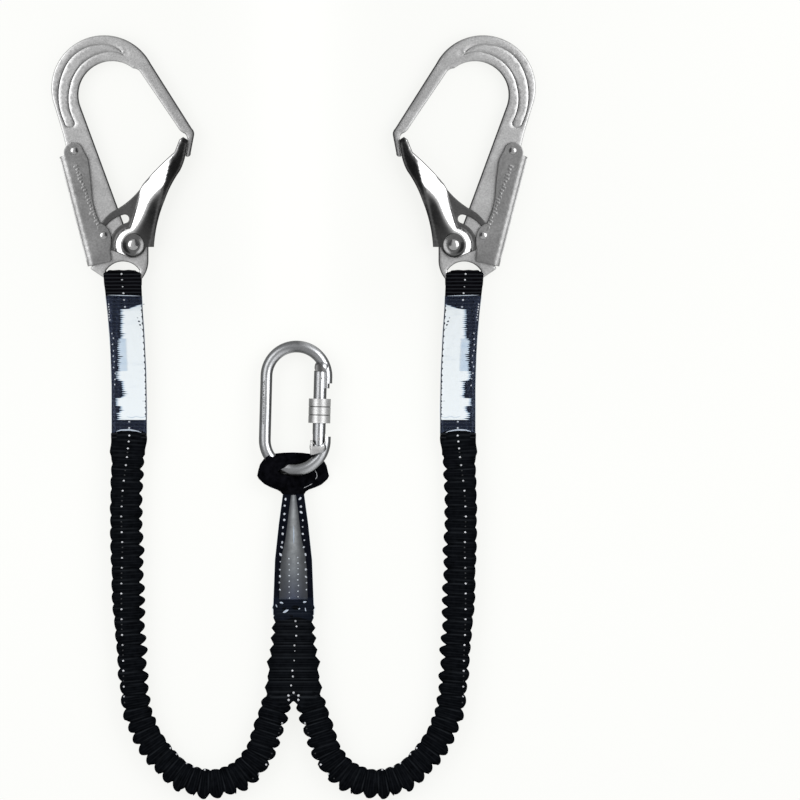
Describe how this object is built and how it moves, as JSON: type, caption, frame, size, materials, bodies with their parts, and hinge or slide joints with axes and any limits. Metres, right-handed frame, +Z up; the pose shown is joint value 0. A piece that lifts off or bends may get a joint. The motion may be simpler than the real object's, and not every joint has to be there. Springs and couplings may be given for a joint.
{
  "type": "shock absorbing lanyard",
  "caption": "Twin-leg elastic fall-arrest lanyard: gathered legs with large locking scaffold hooks joined at a Y to a sewn loop holding an oval screw-lock carabiner.",
  "frame": {"origin": "middle of the laid-out lanyard on the surface it lies on", "axes": "+X to the right with the hooks at the far end, +Y from the leg loops towards the hooks, +Z up off the surface"},
  "size_m": [0.3876, 0.6123, 0.0194],
  "materials": {
    "hook_plate_steel": "satin zinc plated pressed plate",
    "gate_steel": "polished plated sheet",
    "lever_steel": "satin plated sheet",
    "rivet_steel": "bright",
    "spring_steel": "spring wire",
    "carabiner_steel": "satin zinc plated",
    "black_webbing": "ribbed weave",
    "black_elastic_jacket": "gathered ribbed tube",
    "white_webbing": "plain weave",
    "elastic_rubber": "matt",
    "clear_sleeve": "clear heat-shrunk film",
    "label_white": "blank printed film",
    "pale_thread": "bonded thread"
  },
  "bodies": {
    "yoke": {"leg_junction_cover": "black_elastic_jacket", "centre_webbing_stack": "black_webbing", "centre_clear_sleeve": "clear_sleeve", "centre_stitching": "pale_thread", "choke_loop": "black_webbing", "left_leg_jacket_lower": "black_elastic_jacket", "left_tear_webbing_lower": "white_webbing", "left_elastic_cords_lower": "elastic_rubber", "right_leg_jacket_lower": "black_elastic_jacket", "right_tear_webbing_lower": "white_webbing", "right_elastic_cords_lower": "elastic_rubber"},
    "left_leg": {"left_leg_jacket_upper": "black_elastic_jacket", "left_tear_webbing_upper": "white_webbing", "left_elastic_cords_upper": "elastic_rubber", "left_hook_loop": "black_webbing", "left_hook_end_sleeve": "clear_sleeve", "left_label": "label_white", "left_hook_end_stitching": "pale_thread"},
    "left_hook": {"left_hook_body": "hook_plate_steel", "left_gate_rivet": "rivet_steel", "left_gate_washers": "rivet_steel", "left_gate_spring": "spring_steel", "left_lever_rivet": "rivet_steel", "left_lever_spring": "spring_steel"},
    "left_hook_gate": {"left_gate": "gate_steel"},
    "left_hook_lever": {"left_lock_lever": "lever_steel", "left_lock_pin": "rivet_steel"},
    "right_leg": {"right_leg_jacket_upper": "black_elastic_jacket", "right_tear_webbing_upper": "white_webbing", "right_elastic_cords_upper": "elastic_rubber", "right_hook_loop": "black_webbing", "right_hook_end_sleeve": "clear_sleeve", "right_label": "label_white", "right_hook_end_stitching": "pale_thread"},
    "right_hook": {"right_hook_body": "hook_plate_steel", "right_gate_rivet": "rivet_steel", "right_gate_washers": "rivet_steel", "right_gate_spring": "spring_steel", "right_lever_rivet": "rivet_steel", "right_lever_spring": "spring_steel"},
    "right_hook_gate": {"right_gate": "gate_steel"},
    "right_hook_lever": {"right_lock_lever": "lever_steel", "right_lock_pin": "rivet_steel"},
    "carabiner": {"carabiner_body": "carabiner_steel", "carabiner_hinge_pin": "rivet_steel"},
    "carabiner_gate": {"carabiner_gate": "carabiner_steel", "carabiner_latch_pin": "rivet_steel", "carabiner_plunger": "rivet_steel", "carabiner_gate_spring": "spring_steel"},
    "locking_sleeve": {"carabiner_locking_sleeve": "carabiner_steel"}
  },
  "joints": [
    {"name": "left_leg_bend", "type": "hinge", "parent": "yoke", "child": "left_leg", "pos_m": [-0.13197, -0.153, 0.009], "axis": [0, 0, 1], "range_deg": [-6, 25], "deforming": ["left_leg_jacket_upper", "left_tear_webbing_upper", "left_elastic_cords_upper"]},
    {"name": "left_hook_swing", "type": "hinge", "parent": "left_leg", "child": "left_hook", "pos_m": [-0.1365, 0.1084, 0.009], "axis": [1, 0, 0], "range_deg": [0, 110]},
    {"name": "left_gate_open", "type": "hinge", "parent": "left_hook", "child": "left_hook_gate", "pos_m": [-0.1282, 0.1382, 0.009], "axis": [0, 0, 1], "range_deg": [0, 35], "deforming": ["left_gate_spring"]},
    {"name": "left_lever_squeeze", "type": "hinge", "parent": "left_hook", "child": "left_hook_lever", "pos_m": [-0.1756, 0.2135, 0.009], "axis": [0, 0, 1], "range_deg": [0, 2.5], "deforming": ["left_lever_spring"]},
    {"name": "right_leg_bend", "type": "hinge", "parent": "yoke", "child": "right_leg", "pos_m": [0.13197, -0.153, 0.009], "axis": [0, 0, -1], "range_deg": [-6, 25], "deforming": ["right_leg_jacket_upper", "right_tear_webbing_upper", "right_elastic_cords_upper"]},
    {"name": "right_hook_swing", "type": "hinge", "parent": "right_leg", "child": "right_hook", "pos_m": [0.1365, 0.1084, 0.009], "axis": [1, 0, 0], "range_deg": [0, 110]},
    {"name": "right_gate_open", "type": "hinge", "parent": "right_hook", "child": "right_hook_gate", "pos_m": [0.1282, 0.1382, 0.009], "axis": [0, 0, -1], "range_deg": [0, 35], "deforming": ["right_gate_spring"]},
    {"name": "right_lever_squeeze", "type": "hinge", "parent": "right_hook", "child": "right_hook_lever", "pos_m": [0.1756, 0.2135, 0.009], "axis": [0, 0, -1], "range_deg": [0, 2.5], "deforming": ["right_lever_spring"]},
    {"name": "carabiner_swing", "type": "hinge", "parent": "yoke", "child": "carabiner", "pos_m": [0.00041, -0.042, 0.0105], "axis": [1, 0, 0], "range_deg": [0, 100], "deforming": ["choke_loop"]},
    {"name": "carabiner_gate_open", "type": "hinge", "parent": "carabiner", "child": "carabiner_gate", "pos_m": [0.02026, -0.01722, 0.0105], "axis": [0, 0, 1], "range_deg": [0, 24]},
    {"name": "locking_sleeve_slide", "type": "slide", "parent": "carabiner_gate", "child": "locking_sleeve", "axis": [0.0262, 0.9997, 0], "range_m": [-0.006, 0.012]}
  ],
  "couplings": [
    {"joint": "left_lever_squeeze", "follows": "left_gate_open", "ratio": 0.0714},
    {"joint": "right_lever_squeeze", "follows": "right_gate_open", "ratio": 0.0714}
  ]
}
